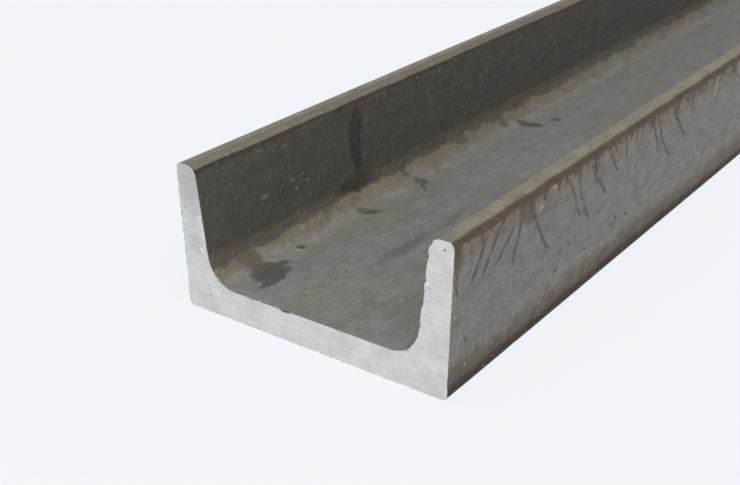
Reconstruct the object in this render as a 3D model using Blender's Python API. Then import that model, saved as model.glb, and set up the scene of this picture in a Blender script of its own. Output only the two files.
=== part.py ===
"""Steel u-channel: one length of hot-rolled section, sawn square at both ends.

The rolled section is a flat web with a flange along each side. The flanges are square
outside and taper inside, from a thick root to a thinner toe. The roots have large
fillets, and the toes and heels have the small radii that rolls leave. The channel
lies on its web with the flanges up: X runs across the web, Y along the length and Z up
from the floor, with the origin under the middle of the web.
"""

import math

import bmesh
import bpy
from mathutils import Vector

MM = 0.001

# The rolled section
SECTION_WIDTH = 60 * MM
FLANGE_HEIGHT = 30 * MM
WEB_THICKNESS = 6.4 * MM
FLANGE_THICKNESS = 6 * MM
FLANGE_TAPER = 0.08
ROOT_RADIUS = 6 * MM
TOE_INNER_RADIUS = 2.2 * MM
TOE_OUTER_RADIUS = 1.5 * MM
HEEL_RADIUS = 1.2 * MM

# The sawn length, and the small bevel left round each cut when its burr is taken off
LENGTH = 1000 * MM
CUT_EDGE_BREAK = 0.3 * MM

# The finish: dark grey mill scale
SCALE_COLOUR = (0.16, 0.155, 0.145, 1.0)
SCALE_ROUGHNESS = 0.6
SCALE_METALLIC = 0.7

# How finely the radii are faceted, and the share of a side that its two radii may fill
ARC_STEP = math.radians(7.5)
RADII_SHARE = 0.96


def flange_thickness_at(height):
    """The flange's thickness at a height; it is gauged half way up the flange."""
    return FLANGE_THICKNESS + FLANGE_TAPER * (FLANGE_HEIGHT / 2 - height)


def sharp_section():
    """The section's corners before rounding, as (point, radius), going round once."""
    side = SECTION_WIDTH / 2
    root = side - flange_thickness_at(WEB_THICKNESS)
    toe = side - flange_thickness_at(FLANGE_HEIGHT)
    right_half = [
        (Vector((side, 0)), HEEL_RADIUS),
        (Vector((side, FLANGE_HEIGHT)), TOE_OUTER_RADIUS),
        (Vector((toe, FLANGE_HEIGHT)), TOE_INNER_RADIUS),
        (Vector((root, WEB_THICKNESS)), ROOT_RADIUS),
    ]
    left_half = [(Vector((-corner.x, corner.y)), radius) for corner, radius in reversed(right_half)]
    return right_half + left_half


def turn_angle(before, corner, after):
    """How far the outline turns at a corner; it is negative where the outline is hollow."""
    return (corner - before).angle_signed(after - corner) * -1


def radii_that_fit(corners, radii, turns):
    """Each radius, cut down where two neighbours would meet on the side between them."""
    reaches = [radius * abs(math.tan(turn / 2)) for radius, turn in zip(radii, turns)]
    fitting = list(radii)
    for first in range(len(corners)):
        second = (first + 1) % len(corners)
        room = (corners[second] - corners[first]).length * RADII_SHARE
        needed = reaches[first] + reaches[second]
        if needed > room:
            for index in (first, second):
                fitting[index] = min(fitting[index], radii[index] * room / needed)
    return fitting


def arc_points(before, corner, after, radius, turn):
    """The points of the arc that rounds one corner and touches both of its sides."""
    into = (corner - before).normalized()
    start = corner - into * radius * abs(math.tan(turn / 2))
    to_centre = Vector((-into.y, into.x)) * math.copysign(radius, turn)
    centre = start + to_centre
    steps = max(2, math.ceil(abs(turn) / ARC_STEP))
    points = []
    for step in range(steps + 1):
        angle = turn * step / steps
        arm = -to_centre
        turned = Vector((
            arm.x * math.cos(angle) - arm.y * math.sin(angle),
            arm.x * math.sin(angle) + arm.y * math.cos(angle),
        ))
        points.append(centre + turned)
    return points


def rounded_section():
    """The section's outline, with every corner rounded to its own radius."""
    section = sharp_section()
    corners = [corner for corner, _ in section]
    count = len(corners)
    sides = [(corners[i - 1], corners[i], corners[(i + 1) % count]) for i in range(count)]
    turns = [turn_angle(*side) for side in sides]
    radii = radii_that_fit(corners, [radius for _, radius in section], turns)
    outline = []
    for side, radius, turn in zip(sides, radii, turns):
        outline += arc_points(*side, radius, turn)
    return outline


def channel_mesh():
    """The outline drawn out along Y, with a bevelled rim round the cut at each end."""
    shape = bmesh.new()
    near_end = CUT_EDGE_BREAK - LENGTH / 2
    rolled_length = LENGTH - 2 * CUT_EDGE_BREAK
    rim = [shape.verts.new((point.x, near_end, point.y)) for point in rounded_section()]
    near_face = shape.faces.new(rim)
    drawn = bmesh.ops.extrude_face_region(shape, geom=[near_face], use_keep_orig=True)
    far_verts = [part for part in drawn["geom"] if isinstance(part, bmesh.types.BMVert)]
    bmesh.ops.translate(shape, verts=far_verts, vec=(0, rolled_length, 0))
    bmesh.ops.recalc_face_normals(shape, faces=shape.faces)
    cuts = [face for face in shape.faces if len(face.verts) == len(rim)]
    bmesh.ops.inset_individual(
        shape, faces=cuts, thickness=CUT_EDGE_BREAK, depth=CUT_EDGE_BREAK, use_even_offset=True
    )
    mesh = bpy.data.meshes.new("u_channel")
    shape.to_mesh(mesh)
    shape.free()
    return mesh


def mill_scale():
    """The grey-brown skin of oxide that hot rolling leaves."""
    material = bpy.data.materials.new("mill_scale_steel")
    material.use_nodes = True
    shader = material.node_tree.nodes["Principled BSDF"]
    shader.inputs["Base Color"].default_value = SCALE_COLOUR
    shader.inputs["Roughness"].default_value = SCALE_ROUGHNESS
    shader.inputs["Metallic"].default_value = SCALE_METALLIC
    return material


def make_channel():
    """The channel as one object, smooth round its radii and sharp at its cut ends."""
    mesh = channel_mesh()
    mesh.materials.append(mill_scale())
    mesh.shade_smooth()
    mesh.set_sharp_from_angle(angle=math.radians(30))
    channel = bpy.data.objects.new("u_channel", mesh)
    bpy.context.scene.collection.objects.link(channel)


def clear_scene():
    """Removes whatever the scene already holds."""
    for item in list(bpy.data.objects):
        bpy.data.objects.remove(item, do_unlink=True)


clear_scene()
make_channel()
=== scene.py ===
"""Dresses a length of hot-rolled steel u-channel: mill scale on its rolled faces, bright steel on its sawn ends."""

import functools
import math

import bmesh
import bpy
from bpy.props import FloatProperty, FloatVectorProperty, IntProperty, PointerProperty
from mathutils import Euler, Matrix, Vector, noise


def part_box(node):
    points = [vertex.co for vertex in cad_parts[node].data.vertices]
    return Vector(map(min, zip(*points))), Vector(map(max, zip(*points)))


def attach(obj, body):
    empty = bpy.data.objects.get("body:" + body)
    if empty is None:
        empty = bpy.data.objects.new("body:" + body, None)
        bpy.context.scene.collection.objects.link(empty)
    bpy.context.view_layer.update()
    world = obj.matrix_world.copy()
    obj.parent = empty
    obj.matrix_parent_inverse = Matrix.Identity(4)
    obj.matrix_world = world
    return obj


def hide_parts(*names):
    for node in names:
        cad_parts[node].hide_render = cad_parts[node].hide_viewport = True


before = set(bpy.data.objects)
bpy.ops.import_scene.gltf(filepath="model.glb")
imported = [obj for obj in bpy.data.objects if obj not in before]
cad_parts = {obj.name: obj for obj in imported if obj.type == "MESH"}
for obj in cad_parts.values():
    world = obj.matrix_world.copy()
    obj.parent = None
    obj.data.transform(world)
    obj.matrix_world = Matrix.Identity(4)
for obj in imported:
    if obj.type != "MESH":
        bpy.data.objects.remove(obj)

bl_info = {
    "name": "Rolled Steel Channel",
    "version": (1, 0, 0),
    "blender": (4, 5, 0),
    "location": "3D View > Sidebar > Channel",
    "description": "Builds a hot-rolled steel channel with sawn ends, its finishes and its stage",
    "category": "Add Mesh",
}

MM = 0.001
TOUCH = 0.001 * MM  # points nearer than this are one point
SNAP = 0.06 * MM  # a cut through a sawn end takes the corners that lie this near to it
SHARP = math.radians(25)  # faces that meet at less than this are shaded as one
FLAT = math.radians(0.5)  # faces that meet at less than this are one face

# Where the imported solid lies: across X, along Y with the sawn end that faces the camera at the lowest Y, up Z.
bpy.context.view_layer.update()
NODE = "u_channel"
LOW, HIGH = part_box(NODE)
NEAR_END, FAR_END = LOW[1], HIGH[1]
HALF_WIDTH = HIGH[0]
HEIGHT = HIGH[2]

# The rolled faces unrolled, in mm round the section from the middle of the web's inside: positive to the right.
TOE_MIDDLE = 46.6
LEAN_FOOT = 4.0  # height in mm where the flanges start to lean
FLANGE_FOOT = (27, 30)  # where each fillet goes over into its flange
DRIP_TOP, DRIP_FOOT = (49.4, 50.2), (66, 58)  # where the drips down the flanges' outsides begin and end
SPLIT_TOP, SPLIT_FOOT = (49.2, 49.8), (61, 53)  # where the splits that are not placed one by one begin and end
PLACED_SPLITS_END = (128, 132)  # how far along the channel the right flange's splits are placed one by one

# Sizes in mm of the patterns on the scale, round the section and then along it where there are two.
DRIFT_SIZE = 6  # the slow wandering of every border
JITTER_SIZE = 2  # the fine wandering of stains, flecks and splits, and the blisters
TONE_SIZE = 16  # the drift between two shades of scale, and how thickly the flecks lie
MOTTLE_SIZE = 2.5
GRAIN_SIZE = 0.35  # the real grain is about 0.1 mm, too fine to show, so it is drawn coarser
CELL_SIZE = (1.2, 0.9)  # each cell holds one fleck or pit at most
DRIP_SIZE = (26, 2.4)
RUB_SIZE = (8, 0.9)  # the light streaks that stand down the flanges
SPLIT_SIZE = (16, 3)  # the splits that are not placed one by one

# Sizes in mm of the patterns on the sawn ends, across and then up the section where there are two.
CLOUD_SIZE = 5
STROKE_SIZE = (5, 1.1)
CUT_GRAIN_SIZE = 0.5  # the steel's grain is far finer, so it is drawn as coarse as it needs to show
CUT_CELL_SIZE = 1.2  # each cell holds one pit at most

# Material slots: each side of the toes has its own marks on the same scale.
INSIDE, OUTSIDE, SAWN = 0, 1, 2

# Places of the rings, in mm from an end. The first are cut as finely as the sawn face, up to END_REACH.
END_RINGS = (0.25, 0.5, 0.75, 1.0, 2.4)
END_REACH = 1.1
# The rings between: share of them against their distance from the near end, close together where the camera is.
RING_PLAN = ((0, 2.4), (0.36, 170), (0.96, 990), (1, 997.6))
# The points of a broken edge are those whose normal leans this far from a rolled face's towards a sawn face's.
EDGE_SHARES = (0.05, 0.95)

# The stage, in metres, with places given from the middle of the near end's foot.
FLOOR_RADIUS = 12
FLOOR_SIDES = 96
BACKDROP_DEPTH = 10
FLOOR_GLOW_STRENGTH = 0.929
SURROUNDINGS_STRENGTH = 0.75
KEY_STRENGTH = 0.6
KEY_SPREAD = math.radians(50)
KEY_TURN = (math.radians(35), 0, math.radians(40))
SOFTBOX_SIZE = 0.8
SOFTBOX_POWER = 4.0
SOFTBOX_PLACE = Vector((0.45, -0.7, 0.45))
CAMERA_PLACE = (0.11472, -0.13675, 0.10683)
CAMERA_TURN = (64.3668, 0.4476, 36.1697)  # degrees
CAMERA_LENS = 55.618  # mm
CAMERA_SENSOR = 36  # mm across
CAMERA_REACH = (0.005, 50)

# The coats of scale and film on the rolled faces, some of them partly painted shade, from the web's middle outwards:
# where each begins, where it is full, how far that border wanders, and its colour.
INSIDE_COATS = (
    (16.0, 19.5, 3.0, "foot_film"),
    (19.6, 22.2, 2.6, "fillet_tan"),
    (23.7, 24.3, 2.2, "fillet_brown"),
    (26.3, 27.3, 1.6, "inner_scale"),
    # Painted shade: the toe shadow coat darkens each toe's inner arc, which the lights would otherwise show brighter.
    (42.9, 43.6, 0.6, "toe_shadow"),
    (43.9, 44.3, 0.25, "toe_film"),
)
OUTSIDE_COATS = (
    (47.7, 48.5, 0.4, "toe_band"),
    (49.5, 49.9, 1.0, "under_band"),
    (50.4, 53.4, 1.6, "outer_scale"),
    # Partly painted shade: these two coats darken the flanges' outsides towards each heel, partly a real brownish film
    # and stain, partly a painted contact shadow.
    (70.0, 74.5, 2.5, "heel_film_and_shade"),
    (74.6, 76.2, 0.8, "heel_stain_and_contact_shadow"),
    (78.4, 79.6, 0.4, "under_scale"),
)

# The splits in the outer right flange's scale: width and strength, then points round and along the channel.
CRACKS = (
    (0.7, 0.7, (56.0, 1.5), (59.4, 1.5)),
    (1.0, 1.0, (50.6, 10.2), (54.8, 7.8), (57.8, 5.9)),
    (1.0, 1.0, (50.6, 14.4), (54.9, 11.4), (57.8, 9.4)),
    (0.9, 1.0, (52.6, 19.0), (55.3, 16.2), (57.5, 13.8)),
    (1.0, 1.0, (52.1, 21.6), (55.2, 20.7), (60.3, 19.4)),
    (0.8, 1.0, (52.6, 26.0), (54.3, 27.0), (57.9, 29.3), (60.3, 30.6), (62.2, 32.9)),
    (0.7, 0.7, (50.2, 32.8), (52.7, 31.4), (53.7, 30.3)),
    (0.8, 0.9, (50.0, 37.8), (51.9, 39.9), (56.4, 42.8), (58.3, 43.0)),
    (0.8, 0.9, (58.0, 43.4), (60.2, 45.2)),
    (0.8, 0.9, (50.2, 42.7), (54.3, 43.8), (56.4, 44.7), (57.5, 45.9)),
    (0.9, 1.0, (58.5, 46.4), (62.2, 48.9)),
    (1.1, 0.9, (50.2, 49.4), (54.3, 50.4), (55.2, 51.9)),
    (0.9, 1.0, (54.6, 51.2), (57.1, 53.9), (59.0, 55.5)),
    (0.8, 0.9, (50.8, 56.2), (53.1, 57.8), (55.0, 59.4), (56.0, 60.8)),
    (0.7, 0.8, (50.5, 63.5), (55.0, 64.2)),
    (0.7, 0.8, (50.0, 68.6), (52.5, 68.2)),
    (0.7, 0.6, (57.5, 68.7), (59.1, 70.1)),
    (1.0, 0.9, (49.9, 74.2), (52.1, 76.8), (56.9, 80.1), (58.5, 80.5)),
    (0.9, 0.9, (50.0, 78.0), (52.7, 80.3), (56.0, 81.6), (57.9, 83.8), (60.2, 85.9), (61.6, 88.0)),
    (1.0, 1.0, (50.4, 88.3), (53.5, 89.0), (54.8, 90.5), (57.1, 92.6), (59.0, 95.1)),
    (0.8, 0.6, (50.0, 96.2), (54.3, 98.8)),
    (0.9, 0.8, (50.0, 113.8), (51.8, 113.2), (54.0, 113.6)),
    (0.7, 0.5, (56.9, 112.0), (59.3, 115.4)),
    (1.0, 0.8, (50.1, 121.7), (52.2, 124.2), (54.2, 126.2)),
    (0.7, 0.6, (63.0, 29.6), (63.8, 32.1)),
    (0.7, 0.6, (58.3, 34.0), (59.1, 34.8)),
    (0.7, 0.8, (52.2, 50.6), (55.4, 50.2)),
    (0.8, 0.7, (50.4, 79.4), (52.6, 81.0)),
    (0.7, 0.6, (57.4, 81.4), (60.4, 83.0)),
    (0.6, 0.9, (64.0, 40.8), (64.9, 41.8)),
    (0.6, 0.9, (68.3, 36.2), (68.8, 37.4)),
    (0.6, 0.9, (68.4, 47.9), (69.0, 49.0)),
    (0.6, 0.9, (67.7, 4.7), (69.1, 5.5)),
    (0.6, 0.9, (70.7, 9.0), (72.0, 8.2)),
    (0.6, 0.9, (66.2, 61.4), (68.0, 62.4)),
    (0.6, 0.9, (67.8, 59.4), (68.0, 61.0)),
    (0.6, 0.9, (67.8, 66.6), (68.6, 68.4)),
    (0.9, 0.6, (66.2, 102.4), (67.6, 103.4)),
    (0.8, 0.5, (67.6, 99.0), (67.6, 101.6)),
    (0.9, 0.6, (67.4, 107.5), (68.2, 109.8)),
)
SPOT_STRETCH = 1.35  # a spot fades at its ends, so each is drawn longer than its line

# Stains, with painted shade and painted glints among them: colour, how deep they are, how softly they end (1 is
# softest), and their spots as start, end, width and strength, placed round and along the channel.
INSIDE_STAINS = (
    # Painted shade: this spot darkens the left toe's top, more and more away from the near sawn end.
    ("toe_shadow", 0.6, 1.0, (
        ((-45.6, -60.0), (-45.6, 1200.0), 6.0, 1.0),
    )),
    ("pale_film", 0.6, 1.0, (
        ((-22.2, 13.5), (-21.4, 19.0), 3.4, 1.0),
        ((-19.8, 24.0), (-19.4, 36.0), 4.0, 0.8),
        ((-19.8, 52.0), (-19.2, 60.0), 4.0, 0.7),
        ((-21.0, 2.0), (-20.6, 6.0), 4.0, 0.7),
    )),
    ("fillet_pink", 0.45, 1.0, (
        ((-23.2, 20.5), (-23.0, 31.0), 3.4, 1.0),
        ((-22.6, 52.0), (-21.4, 61.0), 4.6, 1.0),
        ((-22.6, 68.0), (-22.4, 84.0), 4.4, 1.0),
        ((-20.6, 44.0), (-20.4, 54.0), 3.0, 0.6),
        ((-22.6, 108.0), (-22.4, 128.0), 4.0, 0.8),
    )),
    ("dark_stain", 1.0, 0.7, (
        ((-41.2, 48.6), (-35.0, 47.6), 5.0, 1.0),
        ((-38.0, 47.0), (-30.0, 47.6), 5.0, 1.0),
        ((-31.0, 47.4), (-27.6, 46.2), 2.6, 0.6),
        ((-26.2, 39.5), (-25.8, 52.0), 4.2, 0.8),
    )),
    ("web_stain", 0.95, 0.6, (
        ((-17.0, 7.6), (-16.6, 12.2), 6.0, 1.0),
        ((-19.0, 8.0), (-18.6, 12.2), 4.4, 1.0),
        ((-14.9, 5.0), (-14.6, 10.4), 2.6, 1.0),
        ((-18.4, 12.6), (-17.8, 16.0), 3.2, 0.6),
        ((-20.0, 42.9), (-17.8, 45.2), 3.2, 0.9),
        ((-20.0, 21.2), (-19.4, 22.8), 1.8, 0.8),
        ((-20.1, 64.0), (-18.4, 64.6), 4.2, 0.8),
        ((-19.4, 63.8), (-15.4, 61.2), 1.6, 0.8),
        ((-19.8, 111.6), (-15.8, 112.8), 4.4, 1.0),
        ((-14.2, 119.0), (-13.2, 120.6), 4.2, 0.7),
        ((-13.0, 130.8), (-12.6, 132.2), 3.2, 0.4),
    )),
    ("web_streak_and_far_shade", 0.5, 1.0, (
        ((-15.8, 28.0), (-17.5, 44.0), 4.0, 0.4),
        # Painted shade: this wide spot darkens the inside of the channel broadly, least at the near sawn end and most
        # towards the middle of its length, as if the light fell off away from the front.
        ((0.0, 60.0), (0.0, 1400.0), 90.0, 1.0),
    )),
    ("web_streak_and_far_shade", 1.0, 1.0, (
        ((-2.4, 24.0), (-2.2, 44.0), 4.8, 0.9),
        ((-1.8, 42.0), (-2.2, 60.0), 4.0, 0.7),
    )),
    ("fillet_brown", 0.9, 0.6, (
        ((-25.0, 7.6), (-21.6, 10.2), 6.0, 0.9),
        ((-25.4, 61.8), (-22.6, 63.3), 3.0, 0.7),
        ((-25.4, 84.4), (-23.0, 88.6), 4.0, 0.9),
        ((-25.4, 105.0), (-22.2, 106.2), 4.4, 1.0),
        ((-24.8, 114.0), (-24.2, 120.0), 3.4, 0.8),
        ((-24.6, 125.0), (-24.0, 140.0), 3.4, 0.8),
        ((-24.4, 31.0), (-24.2, 37.0), 2.2, 0.6),
    )),
    ("rust", 0.75, 0.8, (
        ((-23.0, 42.6), (-22.8, 45.0), 1.8, 1.0),
        ((-24.0, 8.4), (-23.6, 13.0), 1.4, 0.4),
        ((-23.8, 19.0), (-23.4, 24.0), 1.1, 0.35),
        ((-23.9, 25.4), (-23.4, 30.0), 1.1, 0.35),
        ((-22.6, 40.4), (-21.8, 43.0), 1.6, 0.4),
    )),
    ("bare_speck_and_glint", 0.3, 1.0, (
        ((-33.1, 16.2), (-32.8, 18.0), 1.0, 1.0),
        ((-41.4, 21.2), (-40.8, 21.6), 1.0, 0.7),
        ((-41.4, 24.8), (-40.9, 25.3), 1.0, 0.7),
        ((-42.7, 16.6), (-42.2, 19.6), 0.7, 0.7),
        ((-32.7, 30.0), (-31.9, 31.2), 0.8, 0.7),
        ((-32.5, 35.6), (-32.3, 36.6), 0.7, 0.8),
        ((-33.9, 25.2), (-33.4, 26.8), 0.6, 0.8),
        ((-37.0, 19.4), (-34.8, 19.2), 0.5, 0.6),
        ((-36.0, 102.0), (-35.6, 106.0), 0.9, 0.4),
    )),
)
OUTSIDE_STAINS = (
    ("toe_band", 0.8, 0.6, (
        ((49.6, 1.2), (53.2, 1.4), 3.8, 1.0),
        ((53.0, 1.2), (58.0, 1.2), 1.2, 0.8),
        ((49.6, 22.4), (52.4, 24.4), 6.0, 1.0),
        ((51.6, 24.6), (54.0, 26.2), 1.8, 0.9),
        ((49.6, 43.0), (51.6, 43.6), 3.0, 0.7),
        ((49.6, 50.2), (53.0, 50.5), 3.0, 0.9),
        ((49.6, 75.4), (50.9, 76.2), 3.4, 0.8),
        ((49.4, 88.0), (52.4, 88.6), 4.6, 0.9),
        ((49.6, 92.6), (50.8, 95.2), 3.0, 0.9),
        ((49.8, 99.0), (51.4, 104.0), 3.0, 0.8),
        ((49.6, 121.0), (51.2, 123.4), 2.6, 0.9),
    )),
    # Painted glints: light specks beside the splits and at the sawn edge that stand in for highlights.
    ("bare_speck_and_glint", 0.6, 1.0, (
        ((52.4, 28.4), (52.9, 28.9), 1.5, 1.0),
        ((50.2, 32.8), (50.4, 33.8), 0.8, 0.7),
        ((61.8, 0.9), (62.6, 1.7), 1.0, 0.8),
        ((54.0, 58.0), (54.4, 58.8), 0.8, 0.5),
        ((56.0, 81.6), (57.0, 83.0), 0.8, 0.7),
        ((51.3, 93.0), (51.7, 94.0), 0.8, 0.6),
        ((68.4, 87.2), (68.8, 88.8), 0.8, 0.5),
    )),
)

# Marks and painted glints on the sawn end that faces the camera, across and up the section, given as the stains are.
CUT_MARKS = (
    # The dull cut spots darken the left flange's end, most towards its top, and a faint strip low across the web.
    ("dull_cut", 0.75, 1.0, (
        ((-27.0, 22.0), (-27.0, 31.0), 9.0, 1.0),
        ((-26.4, 10.0), (-27.0, 20.0), 7.0, 0.5),
        ((-2.0, 1.6), (12.0, 2.4), 5.0, 0.3),
    )),
    # Painted glints: small near-white spots on the sawn end that stand in for highlights.
    ("painted_glint", 0.9, 0.9, (
        ((-25.5, 13.1), (-24.9, 12.5), 0.6, 1.0),
        ((-23.1, 8.8), (-22.9, 8.6), 0.5, 0.9),
        ((-6.8, 3.4), (-6.0, 3.4), 0.7, 0.5),
        ((-3.4, 5.4), (-2.8, 5.4), 0.6, 0.5),
        ((-27.2, 16.3), (-26.8, 16.3), 0.6, 0.5),
        ((27.0, 22.5), (27.6, 22.6), 0.5, 0.5),
        ((26.2, 18.1), (26.8, 18.2), 0.5, 0.5),
        ((27.7, 28.0), (27.9, 28.0), 0.4, 0.6),
        ((24.4, 20.9), (26.2, 21.2), 0.5, 0.7),
        ((26.4, 14.6), (28.2, 14.9), 0.5, 0.6),
        ((24.8, 18.4), (26.0, 18.6), 0.5, 0.6),
    )),
    ("crack", 0.8, 0.8, (
        ((28.45, 28.0), (28.55, 28.0), 0.6, 1.0),
        ((-27.3, 4.0), (-24.8, 2.3), 0.25, 0.5),
        ((-27.3, 4.0), (-27.2, 3.9), 0.4, 0.8),
        ((-6.4, 6.1), (-4.2, 6.1), 0.5, 0.9),
        ((9.2, 2.5), (9.3, 2.5), 0.5, 0.5),
        ((13.2, 1.3), (13.4, 1.3), 0.5, 0.5),
        ((3.4, 3.3), (3.5, 3.3), 0.4, 0.4),
        ((11.4, 3.0), (11.6, 3.0), 0.4, 0.5),
        ((28.6, 8.6), (28.8, 8.6), 0.5, 0.5),
        ((-29.2, 21.1), (-28.4, 20.9), 0.4, 0.6),
        ((-29.9, 19.7), (-29.5, 19.7), 0.4, 0.8),
        ((-29.9, 11.5), (-29.5, 11.5), 0.4, 0.8),
        ((24.6, 25.2), (27.0, 25.5), 0.25, 0.4),
        ((24.6, 20.3), (26.6, 20.5), 0.3, 0.45),
        ((25.4, 14.0), (27.4, 14.2), 0.25, 0.4),
        ((25.0, 17.6), (26.4, 17.8), 0.25, 0.35),
    )),
)


def linear(hex_colour):
    """An sRGB hex colour as the linear values that Blender's colours hold."""
    shares = [int(hex_colour[i:i + 2], 16) / 255 for i in (1, 3, 5)]
    return tuple(s / 12.92 if s <= 0.04045 else ((s + 0.055) / 1.055) ** 2.4 for s in shares)


def length_property(name, description, default):
    """A length in metres, for the panel."""
    return FloatProperty(name=name, description=description, default=default, min=0, unit="LENGTH", precision=5)


def colour_property(name, description, hex_colour):
    """A colour given as sRGB hex, for the panel."""
    return FloatVectorProperty(
        name=name, description=description, default=linear(hex_colour), size=3, min=0, max=1, subtype="COLOR"
    )


class ChannelSizes(bpy.types.PropertyGroup):
    """The sizes of the channel's mesh and surface relief."""

    mesh_step: length_property("Mesh step", "Spacing of the mesh across the rolled faces", 1.25 * MM)
    cut_step: length_property("Cut step", "Spacing of the mesh on the sawn ends", 0.5 * MM)
    rings: IntProperty(name="Rings", description="Steps of the mesh along the length", default=300, min=50)
    rolled_size: FloatProperty(
        name="Rolled size", description="Share of the nominal section that the bar was rolled to", default=0.989
    )
    toe_out: length_property("Toe-out", "How far each toe stands out of square with the web", 0.76 * MM)
    edge_break: length_property("Edge break", "Width of the broken edge round each sawn end", 0.08 * MM)
    waviness: length_property("Waviness", "Depth of the slow waves that the rolls leave", 0.08 * MM)
    pitting: length_property("Pitting", "Depth of the pits where scale was rolled in", 0.12 * MM)
    saw_relief: length_property("Saw relief", "Depth of the saw's strokes on the ends", 0.12 * MM)
    nick_depth: length_property("Nick depth", "Depth of the nicks along the sawn edges", 0.15 * MM)


class ChannelColours(bpy.types.PropertyGroup):
    """The colours of the channel's finishes."""

    web_scale: colour_property("Web scale", "Blue-grey mill scale on the web", "#888a89")
    web_patches: colour_property("Web patches", "Warmer grey that drifts through the web's scale", "#848178")
    foot_film: colour_property("Foot film", "Thin khaki film where the web turns into each fillet", "#87867f")
    fillet_tan: colour_property("Fillet tan", "Khaki film at the foot of each fillet", "#7c7665")
    pale_film: colour_property("Pale film", "Pale smears below the tan film", "#969385")
    fillet_pink: colour_property("Fillet pink", "Pinkish patches in the tan film", "#7f6e63")
    fillet_brown: colour_property("Fillet brown", "Olive-brown film up each fillet", "#5e584e")
    inner_scale: colour_property("Inner flange scale", "Dark scale on the flanges' insides", "#514d47")
    # Painted shade: this colour darkens the toes' inner arcs and, away from the near end, the left toe's top.
    toe_shadow: colour_property("Toe shadow", "Darkest scale, just inside each toe", "#41392d")
    toe_film: colour_property("Toe film", "Khaki-grey film on top of the toes", "#847e70")
    toe_band: colour_property("Toe band", "Brown stain just under each toe's outer edge", "#4f4433")
    under_band: colour_property("Under the band", "Thin brown film that runs down from the band", "#70675a")
    outer_scale: colour_property("Outer flange scale", "Grey scale on the flanges' outsides", "#716e68")
    # Partly painted shade: these two darken the flanges' outsides down to each heel, a real brownish film and stain
    # together with a painted contact shadow.
    heel_film_and_shade: colour_property("Heel film", "Brownish film low on the flanges' outsides", "#595045")
    heel_stain_and_contact_shadow: colour_property("Heel stain", "Dark brown above each heel", "#2f211b")
    under_scale: colour_property("Underside scale", "Grey scale under the web", "#7c7973")
    crack: colour_property("Crack", "Dark lines where the scale has split", "#47433d")
    dark_stain: colour_property("Dark stain", "Brown-black stain down the inner flange", "#393530")
    web_stain: colour_property("Web stain", "Slate-grey stains on the web", "#4f4f4c")
    # Also painted shade: one wide spot of this colour darkens the channel's inside away from the near end.
    web_streak_and_far_shade: colour_property("Web streak", "Faint dark streak along the web", "#6a6762")
    rust: colour_property("Rust", "Orange-brown rust along the fillet", "#785c40")
    # Also painted glints: the placed specks of this colour on the outer right flange.
    bare_speck_and_glint: colour_property("Bare speck", "Small light flecks where the scale has rubbed off", "#b4b0a5")
    cut_steel: colour_property("Cut steel", "Bright steel where the saw went through", "#dcdbd8")
    dull_cut: colour_property("Dull cut", "Greyer clouds on the sawn steel", "#b7b6b5")
    # Painted glints: bright spots on the sawn end that stand in for highlights.
    painted_glint: colour_property("Bright cut", "Glints where the saw tore the steel", "#fbfbf9")
    floor: colour_property("Floor", "Matt paint of the floor and backdrop, under its glow", "#4c4d4e")
    floor_glow: colour_property("Floor glow", "Even light through the floor and the backdrop", "#f0f4f8")
    surroundings: colour_property("Surroundings", "Light that comes from all round", "#f3f4f4")


def add_node(tree, kind, inputs, out=None, **settings):
    """Adds a shader node with its settings, fills or links its inputs, and returns one live output."""
    node = tree.nodes.new(kind)
    for name, value in settings.items():
        setattr(node, name, value)
    for key, value in inputs.items():
        live = [s for s in node.inputs if s.enabled and s.name == key]
        socket = node.inputs[key] if isinstance(key, int) else live[0]
        if isinstance(value, bpy.types.NodeSocket):
            tree.links.new(value, socket)
        else:
            socket.default_value = value
    live = [s for s in node.outputs if s.enabled and out in (None, s.name)]
    return live[0] if live else None


def new_material(name):
    """An empty node material and the function that adds nodes to it."""
    material = bpy.data.materials.new(name)
    material.use_nodes = True
    material.node_tree.nodes.clear()
    return material, functools.partial(add_node, material.node_tree)


def spots(add, point, lines, depth, softness):
    """Long soft spots on a face, each given as start, end, width and strength: the depth in their middles, 0 beyond
    them. The point is (across, along, 1), so that one dot product measures it along a spot and one across it."""
    field = None
    for (start_x, start_y), (end_x, end_y), width, strength in lines:
        angle = math.atan2(end_y - start_y, end_x - start_x)
        centre = Vector(((start_x + end_x) / 2, (start_y + end_y) / 2))
        reach = math.hypot(end_x - start_x, end_y - start_y) * SPOT_STRETCH / 2 + width * (SPOT_STRETCH - 1)
        along = Vector((math.cos(angle), math.sin(angle))) / reach
        across = Vector((-math.sin(angle), math.cos(angle))) * 2 / width
        x, y = (
            add(
                "ShaderNodeVectorMath", {0: point, 1: (*way, -way.dot(centre))},
                out="Value", operation="DOT_PRODUCT",
            )
            for way in (along, across)
        )
        far = add("ShaderNodeMath", {0: x, 1: x, 2: 1 - strength}, operation="MULTIPLY_ADD")
        far = add("ShaderNodeMath", {0: y, 1: y, 2: far}, operation="MULTIPLY_ADD")
        field = far if field is None else add("ShaderNodeMath", {0: field, 1: far}, operation="MINIMUM")
    return add(
        "ShaderNodeMapRange",
        {"Value": field, "From Min": 1.0, "From Max": 1 - softness, "To Max": depth},
        interpolation_type="SMOOTHSTEP",
    )


def marked(add, coat, point, groups, where):
    """A coat with groups of spots laid over it, each group in its own colour, where they are to show."""
    colours = bpy.context.scene.channel_colours
    for finish, depth, softness, lines in groups:
        share = spots(add, point, lines, depth, softness)
        share = add("ShaderNodeMath", {0: share, 1: where}, operation="MULTIPLY")
        colour = (*getattr(colours, finish), 1)
        coat = add("ShaderNodeMix", {"Factor": share, "A": coat, "B": colour}, data_type="RGBA")
    return coat


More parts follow.
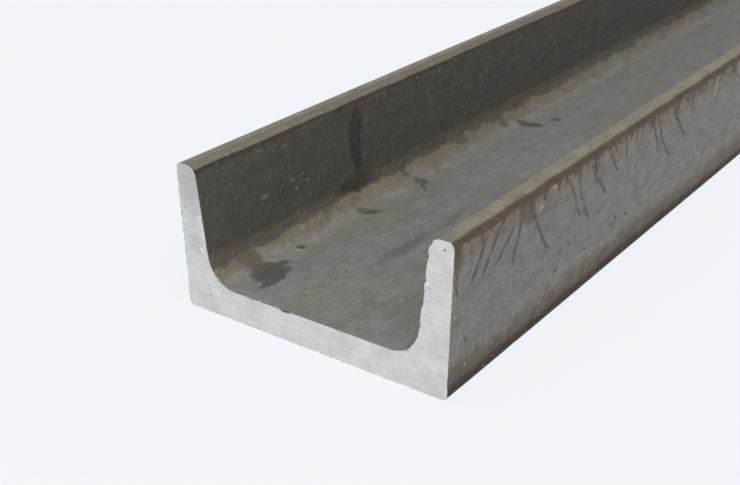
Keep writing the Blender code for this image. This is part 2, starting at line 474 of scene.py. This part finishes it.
def crack_lines():
    """The placed splits of the outer right flange, leg by leg, as spots. A spot fades across, so it is drawn wider."""
    return [
        (start, end, width * 1.5, strength)
        for width, strength, *points in CRACKS
        for start, end in zip(points, points[1:])
    ]


def down_in_drips(add, flat, around):
    """Distance round the section, less where the film under a toe's outer edge has run down the flange in drips."""
    streaks = add(
        "ShaderNodeVectorMath", {0: flat, 1: (1 / DRIP_SIZE[0], 1 / DRIP_SIZE[1], 1)}, operation="MULTIPLY"
    )
    streaks = add("ShaderNodeTexNoise", {"Vector": streaks, "Scale": 1, "Detail": 2})
    drips = add("ShaderNodeMapRange", {"Value": streaks, "From Min": 0.5, "From Max": 0.75, "To Max": 3.5})
    below = add("ShaderNodeMapRange", {"Value": around, "From Min": DRIP_TOP[0], "From Max": DRIP_TOP[1]})
    above = add("ShaderNodeMapRange", {"Value": around, "From Min": DRIP_FOOT[0], "From Max": DRIP_FOOT[1]})
    below = add("ShaderNodeMath", {0: below, 1: above}, operation="MULTIPLY")
    drips = add("ShaderNodeMath", {0: drips, 1: below}, operation="MULTIPLY")
    return add("ShaderNodeMath", {0: around, 1: drips}, operation="SUBTRACT")


def splits(add, crook, flat, side, around, patchy):
    """Splits in the scale: the right flange's own near the sawn end, and others like them all along both flanges."""
    split = spots(add, crook, crack_lines(), 0.9, 0.9)
    split = add("ShaderNodeMath", {0: split, 1: patchy}, operation="MULTIPLY")
    lean = add(
        "ShaderNodeVectorMath", {0: crook, 1: (1 / SPLIT_SIZE[0], 1 / SPLIT_SIZE[1], 0)}, operation="MULTIPLY"
    )
    lean = add("ShaderNodeTexNoise", {"Vector": lean, "Scale": 1, "Detail": 1})
    line = add("ShaderNodeMath", {0: lean, 1: 0.5}, operation="SUBTRACT")
    line = add("ShaderNodeMath", {0: line}, operation="ABSOLUTE")
    line = add("ShaderNodeMapRange", {"Value": line, "From Min": 0.02, "From Max": 0.004, "To Max": 0.8})
    reach = add("ShaderNodeMapRange", {"Value": around, "From Min": SPLIT_FOOT[0], "From Max": SPLIT_FOOT[1]})
    line = add("ShaderNodeMath", {0: line, 1: reach}, operation="MULTIPLY")
    reach = add("ShaderNodeMapRange", {"Value": around, "From Min": SPLIT_TOP[0], "From Max": SPLIT_TOP[1]})
    line = add("ShaderNodeMath", {0: line, 1: reach}, operation="MULTIPLY")
    along = add("ShaderNodeSeparateXYZ", {0: flat}, out="Y")
    elsewhere = add(
        "ShaderNodeMapRange",
        {"Value": along, "From Min": PLACED_SPLITS_END[0], "From Max": PLACED_SPLITS_END[1], "To Min": 0.35},
    )
    left = add("ShaderNodeMapRange", {"Value": side, "From Min": 0.5, "From Max": -0.5})
    elsewhere = add("ShaderNodeMath", {0: elsewhere, 1: left}, operation="MAXIMUM")
    line = add("ShaderNodeMath", {0: line, 1: elsewhere}, operation="MULTIPLY")
    return add("ShaderNodeMath", {0: split, 1: line}, operation="MAXIMUM")


def mill_scale(title, base, coats, stains, outside):
    """Hot-rolled steel with its mill scale: blue-grey and matt, filmed khaki and brown along toes and fillets,
    split and dripping below the toes, with a fine rough grain and small light flecks all over."""
    colours = bpy.context.scene.channel_colours
    material, add = new_material(title)
    body = add("ShaderNodeTexCoord", {}, out="Object")
    place = add("ShaderNodeVectorMath", {0: body, "Scale": 1 / MM}, operation="SCALE")
    unrolled = add("ShaderNodeUVMap", {}, uv_map="unrolled")
    flat = add(
        "ShaderNodeVectorMath", {0: unrolled, 1: (1 / MM, 1 / MM, 0), 2: (0, 0, 1)}, operation="MULTIPLY_ADD"
    )

    # Every border wanders, as stains and films do: finely by up to 0.65 mm and coarsely by up to 1.3 mm.
    drift = add(
        "ShaderNodeTexNoise",
        {"Vector": place, "Scale": 1 / DRIFT_SIZE, "Detail": 5, "Roughness": 0.68},
        out="Color",
    )
    jitter = add("ShaderNodeTexNoise", {"Vector": place, "Scale": 1 / JITTER_SIZE, "Detail": 3}, out="Color")
    crook = add(
        "ShaderNodeVectorMath", {0: jitter, 1: (1.3, 1.3, 0), 2: (-0.65, -0.65, 0)}, operation="MULTIPLY_ADD"
    )
    crook = add("ShaderNodeVectorMath", {0: flat, 1: crook}, operation="ADD")
    wander = add(
        "ShaderNodeVectorMath", {0: drift, 1: (2.6, 2.6, 0), 2: (-1.3, -1.3, 0)}, operation="MULTIPLY_ADD"
    )
    wander = add("ShaderNodeVectorMath", {0: crook, 1: wander}, operation="ADD")
    sway = add("ShaderNodeSeparateXYZ", {0: drift}, out="Y")
    sway = add(
        "ShaderNodeMapRange", {"Value": sway, "From Min": 0.3, "From Max": 0.7, "To Min": -0.5, "To Max": 0.5}
    )

    # Distance round the section, with its side and without.
    side = add("ShaderNodeSeparateXYZ", {0: flat}, out="X")
    around = add("ShaderNodeMath", {0: side}, operation="ABSOLUTE")
    if outside:
        around = down_in_drips(add, flat, around)

    # Mottling, drawn out along the rolling direction, lightens and darkens every coat and breaks up every stain.
    rolled = add("ShaderNodeVectorMath", {0: place, 1: (1, 0.5, 1)}, operation="MULTIPLY")
    mottle = add(
        "ShaderNodeTexNoise", {"Vector": rolled, "Scale": 1 / MOTTLE_SIZE, "Detail": 6, "Roughness": 0.65}
    )
    patchy = add("ShaderNodeMapRange", {"Value": mottle, "From Min": 0.35, "From Max": 0.55, "To Min": 0.55})
    mottle = add(
        "ShaderNodeMapRange",
        {"Value": mottle, "From Min": 0.3, "From Max": 0.7, "To Min": 0.81, "To Max": 1.19},
    )

    # The coats, each over the one before, and the stains over them.
    tone = add("ShaderNodeTexNoise", {"Vector": rolled, "Scale": 1 / TONE_SIZE, "Detail": 5, "Roughness": 0.6})
    tone = add("ShaderNodeMapRange", {"Value": tone, "From Min": 0.3, "From Max": 0.7})
    coat = add("ShaderNodeMix", {"Factor": tone, "A": (*base[0], 1), "B": (*base[1], 1)}, data_type="RGBA")
    for start, full, wandering, finish in coats:
        border = add("ShaderNodeMath", {0: sway, 1: wandering, 2: around}, operation="MULTIPLY_ADD")
        share = add(
            "ShaderNodeMapRange",
            {"Value": border, "From Min": start, "From Max": full},
            interpolation_type="SMOOTHSTEP",
        )
        colour = (*getattr(colours, finish), 1)
        coat = add("ShaderNodeMix", {"Factor": share, "A": coat, "B": colour}, data_type="RGBA")
    coat = marked(add, coat, wander, stains, patchy)

    # Light streaks stand down the flanges where they rubbed against others in the stack.
    rub = add("ShaderNodeVectorMath", {0: crook, 1: (1 / RUB_SIZE[0], 1 / RUB_SIZE[1], 0)}, operation="MULTIPLY")
    rub = add("ShaderNodeTexNoise", {"Vector": rub, "Scale": 1, "Detail": 1})
    rub = add("ShaderNodeMapRange", {"Value": rub, "From Min": 0.6, "From Max": 0.8, "To Max": 0.3})
    up = add("ShaderNodeMapRange", {"Value": around, "From Min": FLANGE_FOOT[0], "From Max": FLANGE_FOOT[1]})
    rub = add("ShaderNodeMath", {0: rub, 1: up, 2: 1.0}, operation="MULTIPLY_ADD")
    grain = add(
        "ShaderNodeTexNoise", {"Vector": rolled, "Scale": 1 / GRAIN_SIZE, "Detail": 2, "Roughness": 0.6}
    )
    grain = add(
        "ShaderNodeMapRange",
        {"Value": grain, "From Min": 0.3, "From Max": 0.7, "To Min": 0.88, "To Max": 1.12},
    )
    light = add("ShaderNodeMath", {0: mottle, 1: grain}, operation="MULTIPLY")
    light = add("ShaderNodeMath", {0: light, 1: rub}, operation="MULTIPLY")
    coat = add("ShaderNodeVectorMath", {0: coat, "Scale": light}, operation="SCALE")

    # Flecks and pits, one or none in each cell.
    cells = add(
        "ShaderNodeVectorMath", {0: crook, 1: (1 / CELL_SIZE[0], 1 / CELL_SIZE[1], 0)}, operation="MULTIPLY"
    )
    speck = add("ShaderNodeTexVoronoi", {"Vector": cells, "Scale": 1.0}, out="Distance")
    speck = add(
        "ShaderNodeMapRange",
        {"Value": speck, "From Min": 0.28, "From Max": 0.12},
        interpolation_type="SMOOTHSTEP",
    )
    chance = add("ShaderNodeTexVoronoi", {"Vector": cells, "Scale": 1.0}, out="Color")
    chance = add("ShaderNodeSeparateXYZ", {0: chance}, out="X")
    crowd = add("ShaderNodeMath", {0: tone, 1: 0.3, 2: chance}, operation="MULTIPLY_ADD")
    fleck = add("ShaderNodeMapRange", {"Value": crowd, "From Min": 0.93, "From Max": 1.2, "To Max": 0.6})
    fleck = add("ShaderNodeMath", {0: speck, 1: fleck}, operation="MULTIPLY")
    pit = add("ShaderNodeMapRange", {"Value": chance, "From Min": 0.22, "From Max": 0.0, "To Max": 0.6})
    pit = add("ShaderNodeMath", {0: speck, 1: pit}, operation="MULTIPLY")
    for share, colour in ((fleck, colours.bare_speck_and_glint), (pit, colours.crack)):
        coat = add("ShaderNodeMix", {"Factor": share, "A": coat, "B": (*colour, 1)}, data_type="RGBA")

    # Blisters in the scale stand up between the pits.
    blister = add("ShaderNodeSeparateXYZ", {0: jitter}, out="Z")
    blister = add("ShaderNodeMapRange", {"Value": blister, "From Min": 0.55, "From Max": 0.8, "To Max": 3.0})
    height = add("ShaderNodeMath", {0: grain, 1: pit}, operation="SUBTRACT")
    height = add("ShaderNodeMath", {0: height, 1: blister}, operation="ADD")
    if outside:
        split = splits(add, crook, flat, side, around, patchy)
        colour = (*colours.crack, 1)
        coat = add("ShaderNodeMix", {"Factor": split, "A": coat, "B": colour}, data_type="RGBA")
        height = add("ShaderNodeMath", {0: height, 1: split}, operation="SUBTRACT")
    bump = add("ShaderNodeBump", {"Height": height, "Strength": 0.7, "Distance": 0.13 * MM})
    rough = add(
        "ShaderNodeMapRange",
        {"Value": mottle, "From Min": 0.81, "From Max": 1.19, "To Min": 0.8, "To Max": 0.66},
    )
    surface = add(
        "ShaderNodeBsdfPrincipled",
        {"Base Color": coat, "Metallic": 0.25, "Roughness": rough, "Normal": bump},
    )
    add("ShaderNodeOutputMaterial", {"Surface": surface})
    return material


def sawn_steel():
    """Steel where the saw went through: bright and clean, clouded with grey, crossed by the blade's faint strokes and
    dotted with small pits and painted glints."""
    colours = bpy.context.scene.channel_colours
    material, add = new_material("saw_cut_steel")
    body = add("ShaderNodeTexCoord", {}, out="Object")
    place = add("ShaderNodeVectorMath", {0: body, "Scale": 1 / MM}, operation="SCALE")

    clouds = add(
        "ShaderNodeTexNoise", {"Vector": place, "Scale": 1 / CLOUD_SIZE, "Detail": 6, "Roughness": 0.68}
    )
    clouds = add("ShaderNodeMapRange", {"Value": clouds, "From Min": 0.38, "From Max": 0.7, "To Max": 0.6})
    coat = add(
        "ShaderNodeMix",
        {"Factor": clouds, "A": (*colours.cut_steel, 1), "B": (*colours.dull_cut, 1)},
        data_type="RGBA",
    )

    # The near end's own marks and painted glints, placed across and up the section.
    face = add("ShaderNodeVectorRotate", {"Vector": place, "Angle": -math.pi / 2}, rotation_type="X_AXIS")
    face = add("ShaderNodeVectorMath", {0: face, 1: (1, 1, 0), 2: (0, 0, 1)}, operation="MULTIPLY_ADD")
    here = add("ShaderNodeSeparateXYZ", {0: place}, out="Y")
    here = add("ShaderNodeMapRange", {"Value": here, "From Min": 1, "From Max": -1})
    coat = marked(add, coat, face, CUT_MARKS, here)

    # The blade's strokes, a millimetre or two apart, and the steel's own grain between them.
    strokes = add(
        "ShaderNodeVectorMath", {0: place, 1: (1 / STROKE_SIZE[0], 0, 1 / STROKE_SIZE[1])}, operation="MULTIPLY"
    )
    strokes = add("ShaderNodeTexNoise", {"Vector": strokes, "Scale": 1, "Detail": 3, "Roughness": 0.6})
    strokes = add(
        "ShaderNodeMapRange",
        {"Value": strokes, "From Min": 0.3, "From Max": 0.7, "To Min": 0.94, "To Max": 1.06},
    )
    grain = add("ShaderNodeTexNoise", {"Vector": place, "Scale": 1 / CUT_GRAIN_SIZE, "Detail": 2})
    grain = add(
        "ShaderNodeMapRange",
        {"Value": grain, "From Min": 0.3, "From Max": 0.7, "To Min": 0.95, "To Max": 1.05},
    )
    light = add("ShaderNodeMath", {0: strokes, 1: grain}, operation="MULTIPLY")
    coat = add("ShaderNodeVectorMath", {0: coat, "Scale": light}, operation="SCALE")

    # Small pits, one or none in each cell, and round the rim the crumbs where the saw broke the scale away.
    cells = add(
        "ShaderNodeVectorMath", {0: place, 1: (1 / CUT_CELL_SIZE, 0, 1 / CUT_CELL_SIZE)}, operation="MULTIPLY"
    )
    speck = add("ShaderNodeTexVoronoi", {"Vector": cells, "Scale": 1.0}, out="Distance")
    speck = add(
        "ShaderNodeMapRange",
        {"Value": speck, "From Min": 0.24, "From Max": 0.1},
        interpolation_type="SMOOTHSTEP",
    )
    chance = add("ShaderNodeTexVoronoi", {"Vector": cells, "Scale": 1.0}, out="Color")
    chance = add("ShaderNodeSeparateXYZ", {0: chance}, out="X")
    pit = add("ShaderNodeMapRange", {"Value": chance, "From Min": 0.06, "From Max": 0.0, "To Max": 0.8})
    pit = add("ShaderNodeMath", {0: speck, 1: pit}, operation="MULTIPLY")
    rim = add("ShaderNodeTexCoord", {}, out="Normal")
    rim = add("ShaderNodeSeparateXYZ", {0: rim}, out="Y")
    rim = add("ShaderNodeMath", {0: rim}, operation="ABSOLUTE")
    rim = add("ShaderNodeMapRange", {"Value": rim, "From Min": 0.95, "From Max": 0.8, "To Max": 0.65})
    for share in (pit, rim):
        coat = add("ShaderNodeMix", {"Factor": share, "A": coat, "B": (*colours.crack, 1)}, data_type="RGBA")
    height = add("ShaderNodeMath", {0: light, 1: pit}, operation="SUBTRACT")
    bump = add("ShaderNodeBump", {"Height": height, "Strength": 0.8, "Distance": 0.15 * MM})
    surface = add(
        "ShaderNodeBsdfPrincipled",
        {"Base Color": coat, "Metallic": 0.9, "Roughness": 0.45, "Normal": bump},
    )
    add("ShaderNodeOutputMaterial", {"Surface": surface})
    return material


def runs_lengthwise(edge):
    """Whether an edge of the tube runs along the length."""
    return abs(edge.verts[0].co.y - edge.verts[1].co.y) > TOUCH


def rolled_tube(step, edge_break):
    """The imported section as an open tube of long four-sided faces, each about a step wide or less, that stops where
    the broken edges round the sawn ends begin."""
    shape = bmesh.new()
    shape.from_mesh(bpy.data.objects[NODE].data)
    bmesh.ops.remove_doubles(shape, verts=shape.verts, dist=TOUCH)
    bmesh.ops.dissolve_limit(shape, angle_limit=FLAT, verts=shape.verts, edges=shape.edges)
    middle = (NEAR_END + FAR_END) / 2
    ends = [face for face in shape.faces if len({v.co.y > middle for v in face.verts}) == 1]
    bmesh.ops.delete(shape, geom=ends, context="FACES")
    for vert in shape.verts:
        vert.co.y = NEAR_END + edge_break if vert.co.y < middle else FAR_END - edge_break
    by_cuts = {}
    for edge in shape.edges:
        if not runs_lengthwise(edge):
            by_cuts.setdefault(round(edge.calc_length() / step) - 1, []).append(edge)
    for cuts, edges in sorted(by_cuts.items()):
        if cuts > 0:
            bmesh.ops.subdivide_edges(shape, edges=edges, cuts=cuts)
    return shape


def unroll(shape):
    """Gives the tube a UV map in metres: round the section from the middle of the web's inside, and along it."""
    layer = shape.loops.layers.uv.new("unrolled")
    lines = [edge for edge in shape.edges if runs_lengthwise(edge)]
    start = max((e for e in lines if abs(e.verts[0].co.x) < TOUCH), key=lambda e: e.verts[0].co.z)
    for face in start.link_faces:
        side = math.copysign(1, face.calc_center_median().x)
        around, near = 0.0, start
        while True:
            far = next(e for e in face.edges if e is not near and runs_lengthwise(e))
            step = min((a.co - b.co).length for a in near.verts for b in far.verts)
            for loop in face.loops:
                distance = around if loop.vert in near.verts else around + step
                loop[layer].uv.x = side * distance
            around += step
            if abs(far.verts[0].co.x) < TOUCH:
                break
            face = next(f for f in far.link_faces if f is not face)
            near = far
    return layer


def cut_end_rings(shape):
    """Cuts the close rings at both ends of the tube."""
    for distance in END_RINGS:
        for level in (NEAR_END + distance * MM, FAR_END - distance * MM):
            bmesh.ops.bisect_plane(
                shape, geom=shape.verts[:] + shape.edges[:] + shape.faces[:], dist=TOUCH,
                plane_co=(0, level, 0), plane_no=(0, 1, 0),
            )


def end_parts(shape, end):
    """The faces of one sawn end and of the close rings beside it, with their edges and corners."""
    faces = [f for f in shape.faces if all(abs(v.co.y - end) < END_REACH * MM for v in f.verts)]
    edges = {edge for face in faces for edge in face.edges}
    corners = {vert for face in faces for vert in face.verts}
    return faces + list(edges) + list(corners)


def slice_end(shape, end, normal, low, high, step):
    """Cuts one end by parallel planes a step apart. Each cut is given only the parts that still lie ahead of it."""
    parts = end_parts(shape, end)
    level = low + step
    while level < high - step / 2:
        parts = bmesh.ops.bisect_plane(
            shape, geom=parts, dist=SNAP, plane_co=normal * level, plane_no=normal
        )["geom"]
        parts = [
            part for part in parts
            if max(vert.co.dot(normal) for vert in getattr(part, "verts", [part])) > level + TOUCH
        ]
        level += step


def close_ends(shape, sizes):
    """Closes both ends with a sawn face inside a broken edge, and cuts them into small squares."""
    rims = [edge for edge in shape.edges if edge.is_boundary]
    caps = bmesh.ops.edgeloop_fill(shape, edges=rims, mat_nr=SAWN)["faces"]
    bmesh.ops.recalc_face_normals(shape, faces=shape.faces)
    bmesh.ops.inset_individual(
        shape, faces=caps, thickness=sizes.edge_break, depth=sizes.edge_break, use_even_offset=True
    )
    for end, step in ((NEAR_END, sizes.cut_step), (FAR_END, 2 * sizes.cut_step)):
        slice_end(shape, end, Vector((1, 0, 0)), -HALF_WIDTH, HALF_WIDTH, step)
        slice_end(shape, end, Vector((0, 0, 1)), 0, HEIGHT, step)


def cut_rings(shape, rings):
    """Cuts the long faces between the ends into rings and spreads them by the ring plan."""
    lines = [edge for edge in shape.edges if edge.calc_length() > (FAR_END - NEAR_END) / 2]
    bmesh.ops.subdivide_edges(shape, edges=lines, cuts=rings - 1)
    low = NEAR_END + RING_PLAN[0][1] * MM
    high = NEAR_END + RING_PLAN[-1][1] * MM
    for vert in shape.verts:
        share = (vert.co.y - low) / (high - low)
        for (share_a, place_a), (share_b, place_b) in zip(RING_PLAN, RING_PLAN[1:]):
            if share_a < share <= share_b and share < 1 - TOUCH:
                place = place_a + (place_b - place_a) * (share - share_a) / (share_b - share_a)
                vert.co.y = NEAR_END + place * MM


def as_rolled(place, sizes):
    """Where a point of the nominal section lies on the real bar: a little under size, its flanges toe-out. The lean
    is full beyond half way out and fades to nothing at the middle of the web."""
    under = place * sizes.rolled_size
    foot = LEAN_FOOT * MM
    slope = sizes.toe_out / (HEIGHT * sizes.rolled_size - foot)
    side = max(-1, min(1, 2 * place.x / HALF_WIDTH))
    return Vector((under.x + side * slope * max(0, under.z - foot), place.y, under.z))


def patches(place, across, along):
    """Smooth noise from -1 to 1 whose patches are this many mm across and along the channel."""
    return noise.noise(Vector((place.x / across, place.y / along, place.z / across)) / MM)


def relief(place, cut_share, sizes):
    """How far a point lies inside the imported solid: waves and pits on the rolled faces, saw strokes on the ends."""
    waves = 0.5 + 0.3 * patches(place, 14, 45) + 0.2 * patches(place, 5, 9)
    pits = max(0, patches(place + Vector((9, 0, 0)), 3, 4) - 0.35)
    rolled = sizes.waviness * waves + sizes.pitting * pits
    strokes = 0.35 * noise.noise(Vector((place.x / 9, 0, place.z / 1.6)) / MM)
    sawn = sizes.saw_relief * (strokes + 0.15 * patches(place, 0.9, 0.9))
    return rolled + (sawn - rolled) * cut_share


def inward(vert, sizes):
    """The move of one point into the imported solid: its relief, and on the broken edges the nicks, cut in slantwise."""
    cut_share = abs(vert.normal.y)
    move = vert.normal * relief(vert.co, cut_share, sizes)
    if EDGE_SHARES[0] < cut_share < EDGE_SHARES[1]:
        slant = Vector((vert.normal.x, 0, vert.normal.z)).normalized()
        slant.y = math.copysign(1, vert.normal.y)
        nicks = max(0, patches(vert.co, 1.3, 1.3) - 0.1) + max(0, patches(vert.co, 0.45, 0.45) - 0.1)
        move += slant * sizes.nick_depth * min(1, 2 * nicks)
    return move


def dressed_channel(sizes):
    """The whole channel as one closed mesh with its relief."""
    shape = rolled_tube(sizes.mesh_step, sizes.edge_break)
    layer = unroll(shape)
    cut_end_rings(shape)
    close_ends(shape, sizes)
    cut_rings(shape, sizes.rings)
    for vert in shape.verts:
        vert.co = as_rolled(vert.co, sizes)
    shape.normal_update()
    moves = [(vert, inward(vert, sizes)) for vert in shape.verts]
    for vert, move in moves:
        vert.co -= move
    for face in shape.faces:
        face.smooth = True
        if face.material_index != SAWN:
            around = sum(abs(loop[layer].uv.x) for loop in face.loops) / len(face.loops)
            face.material_index = INSIDE if around < TOE_MIDDLE * MM else OUTSIDE
        for loop in face.loops:
            loop[layer].uv.y = loop.vert.co.y - NEAR_END
    for edge in shape.edges:
        edge.smooth = edge.calc_face_angle() < SHARP and len({f.material_index for f in edge.link_faces}) == 1
    return shape


class CHANNEL_OT_add_channel(bpy.types.Operator):
    """Build the channel with its rolled faces and sawn ends"""

    bl_idname = "channel.add_channel"
    bl_label = "Add Channel"

    def execute(self, context):
        shape = dressed_channel(context.scene.channel_sizes)
        mesh = bpy.data.meshes.new("rolled_channel")
        shape.to_mesh(mesh)
        shape.free()
        colours = context.scene.channel_colours
        web, toe = (colours.web_scale, colours.web_patches), (colours.toe_film, colours.toe_film)
        mesh.materials.append(
            mill_scale("mill_scale_inside", web, INSIDE_COATS, INSIDE_STAINS, outside=False)
        )
        mesh.materials.append(
            mill_scale("mill_scale_outside", toe, OUTSIDE_COATS, OUTSIDE_STAINS, outside=True)
        )
        mesh.materials.append(sawn_steel())
        piece = bpy.data.objects.new("rolled_channel", mesh)
        context.scene.collection.objects.link(piece)
        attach(piece, "root")
        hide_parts(NODE)
        return {"FINISHED"}


class CHANNEL_OT_add_stage(bpy.types.Operator):
    """Lay the pale floor and set the soft lights and the camera"""

    bl_idname = "channel.add_stage"
    bl_label = "Add Stage"

    def execute(self, context):
        scene = context.scene
        colours = scene.channel_colours

        disc = bmesh.new()
        bmesh.ops.create_circle(disc, cap_ends=True, segments=FLOOR_SIDES, radius=FLOOR_RADIUS)
        floor_mesh = bpy.data.meshes.new("floor")
        disc.to_mesh(floor_mesh)
        disc.free()
        floor = bpy.data.objects.new("floor", floor_mesh)
        scene.collection.objects.link(floor)

        # The backdrop only closes the view: the light comes from the surroundings behind it.
        drum = bmesh.new()
        bmesh.ops.create_cone(
            drum, segments=FLOOR_SIDES, radius1=FLOOR_RADIUS, radius2=FLOOR_RADIUS, depth=BACKDROP_DEPTH
        )
        backdrop_mesh = bpy.data.meshes.new("backdrop")
        drum.to_mesh(backdrop_mesh)
        drum.free()
        backdrop = bpy.data.objects.new("backdrop", backdrop_mesh)
        scene.collection.objects.link(backdrop)
        backdrop.visible_diffuse = backdrop.visible_glossy = backdrop.visible_shadow = False

        # One matt paint that glows evenly covers both, so that no horizon shows between them.
        material, add = new_material("matt_studio_floor")
        surface = add(
            "ShaderNodeBsdfPrincipled",
            {
                "Base Color": (*colours.floor, 1), "Roughness": 0.9, "Specular IOR Level": 0.0,
                "Emission Color": (*colours.floor_glow, 1), "Emission Strength": FLOOR_GLOW_STRENGTH,
            },
        )
        add("ShaderNodeOutputMaterial", {"Surface": surface})
        floor_mesh.materials.append(material)
        backdrop_mesh.materials.append(material)

        world = bpy.data.worlds.new("soft_surroundings")
        world.use_nodes = True
        world.node_tree.nodes.clear()
        light = add_node(
            world.node_tree, "ShaderNodeBackground",
            {"Color": (*colours.surroundings, 1), "Strength": SURROUNDINGS_STRENGTH},
        )
        add_node(world.node_tree, "ShaderNodeOutputWorld", {"Surface": light})
        scene.world = world

        sun = bpy.data.lights.new("soft_key", "SUN")
        sun.energy = KEY_STRENGTH
        sun.angle = KEY_SPREAD
        key = bpy.data.objects.new("soft_key", sun)
        key.rotation_euler = Euler(KEY_TURN)
        scene.collection.objects.link(key)

        near_foot = Vector((0, NEAR_END, 0))
        box = bpy.data.lights.new("front_softbox", "AREA")
        box.shape = "SQUARE"
        box.size = SOFTBOX_SIZE
        box.energy = SOFTBOX_POWER
        softbox = bpy.data.objects.new("front_softbox", box)
        softbox.location = near_foot + SOFTBOX_PLACE
        softbox.rotation_euler = SOFTBOX_PLACE.to_track_quat("Z", "Y").to_euler()
        softbox.visible_camera = False
        scene.collection.objects.link(softbox)

        lens = bpy.data.cameras.new("camera")
        lens.sensor_width = CAMERA_SENSOR
        lens.lens = CAMERA_LENS
        lens.clip_start, lens.clip_end = CAMERA_REACH
        camera = bpy.data.objects.new("camera", lens)
        camera.location = near_foot + Vector(CAMERA_PLACE)
        camera.rotation_euler = Euler([math.radians(turn) for turn in CAMERA_TURN])
        scene.collection.objects.link(camera)
        scene.camera = camera
        scene.view_settings.view_transform = "Standard"
        return {"FINISHED"}


class CHANNEL_PT_sidebar(bpy.types.Panel):
    """The channel's pieces, sizes and colours"""

    bl_label = "Rolled Steel Channel"
    bl_idname = "CHANNEL_PT_sidebar"
    bl_space_type = "VIEW_3D"
    bl_region_type = "UI"
    bl_category = "Channel"

    def draw(self, context):
        for operator in OPERATORS:
            self.layout.operator(operator.bl_idname)
        for group in (context.scene.channel_sizes, context.scene.channel_colours):
            for name in group.__annotations__:
                self.layout.prop(group, name)


OPERATORS = (CHANNEL_OT_add_channel, CHANNEL_OT_add_stage)
CLASSES = (ChannelSizes, ChannelColours, *OPERATORS, CHANNEL_PT_sidebar)


def register():
    for group in CLASSES:
        bpy.utils.register_class(group)
    bpy.types.Scene.channel_sizes = PointerProperty(type=ChannelSizes)
    bpy.types.Scene.channel_colours = PointerProperty(type=ChannelColours)


def unregister():
    del bpy.types.Scene.channel_colours
    del bpy.types.Scene.channel_sizes
    for group in reversed(CLASSES):
        bpy.utils.unregister_class(group)


def main():
    """Builds the channel and its stage."""
    register()
    bpy.ops.channel.add_channel()
    bpy.ops.channel.add_stage()


if __name__ == "__main__":
    main()
